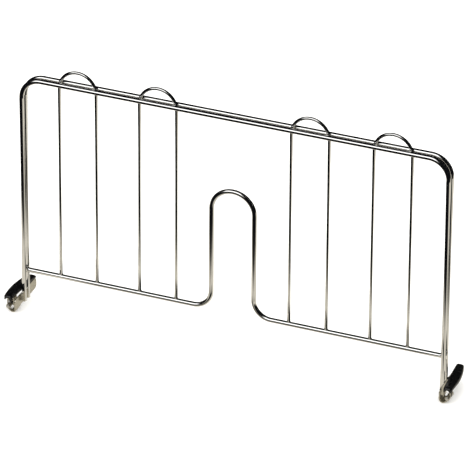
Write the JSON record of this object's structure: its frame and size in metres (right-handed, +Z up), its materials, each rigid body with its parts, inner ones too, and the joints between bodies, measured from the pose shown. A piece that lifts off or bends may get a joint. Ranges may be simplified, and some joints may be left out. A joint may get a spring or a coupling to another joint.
{
  "type": "wire shelf divider",
  "caption": "Chromed double-wire shelf divider with hairpin infill and a hand slot, held to a wire shelf by a sprung lever clip at each bottom corner.",
  "frame": {"origin": "middle of the footprint, at the level of the hooks' undersides", "axes": "+X along the divider to its right end, +Y through its thickness to the side with the clips' longer ends, +Z up"},
  "size_m": [0.461, 0.05, 0.2629],
  "materials": {
    "frame_chrome": "bright chrome on drawn steel wire",
    "hairpin_chrome": "bright chrome on drawn steel wire",
    "hook_plate": "nickel-chrome plated sheet, slightly dull",
    "lever_plate": "nickel-chrome plated sheet, slightly dull",
    "pin_steel": "bright turned steel",
    "rivet_steel": "bright steel",
    "spring_steel": "drawn spring wire",
    "grip_plastic": "black moulded plastic, glossy"
  },
  "bodies": {
    "divider": {"front_frame_wire": "frame_chrome", "rear_frame_wire": "frame_chrome", "bottom_wire": "frame_chrome", "left_outer_hairpin": "hairpin_chrome", "left_inner_hairpin": "hairpin_chrome", "right_inner_hairpin": "hairpin_chrome", "right_outer_hairpin": "hairpin_chrome", "left_hook_base": "hook_plate", "left_hinge_pin": "pin_steel", "left_torsion_spring": "spring_steel", "right_hook_base": "hook_plate", "right_hinge_pin": "pin_steel", "right_torsion_spring": "spring_steel"},
    "left_lever": {"left_lever_arm": "lever_plate", "left_thumb_grip": "grip_plastic", "left_grip_rivets": "rivet_steel"},
    "right_lever": {"right_lever_arm": "lever_plate", "right_thumb_grip": "grip_plastic", "right_grip_rivets": "rivet_steel"}
  },
  "joints": [
    {"name": "left_lever_hinge", "type": "hinge", "parent": "divider", "child": "left_lever", "pos_m": [-0.22536, -0.018, 0.00535], "axis": [0, -1, 0], "range_deg": [0, 80], "stiffness_Nm_per_rad": 0.02, "springref_deg": -40.11, "deforming": ["left_torsion_spring"]},
    {"name": "right_lever_hinge", "type": "hinge", "parent": "divider", "child": "right_lever", "pos_m": [0.22536, -0.018, 0.00535], "axis": [0, 1, 0], "range_deg": [0, 80], "stiffness_Nm_per_rad": 0.02, "springref_deg": -40.11, "deforming": ["right_torsion_spring"]}
  ]
}
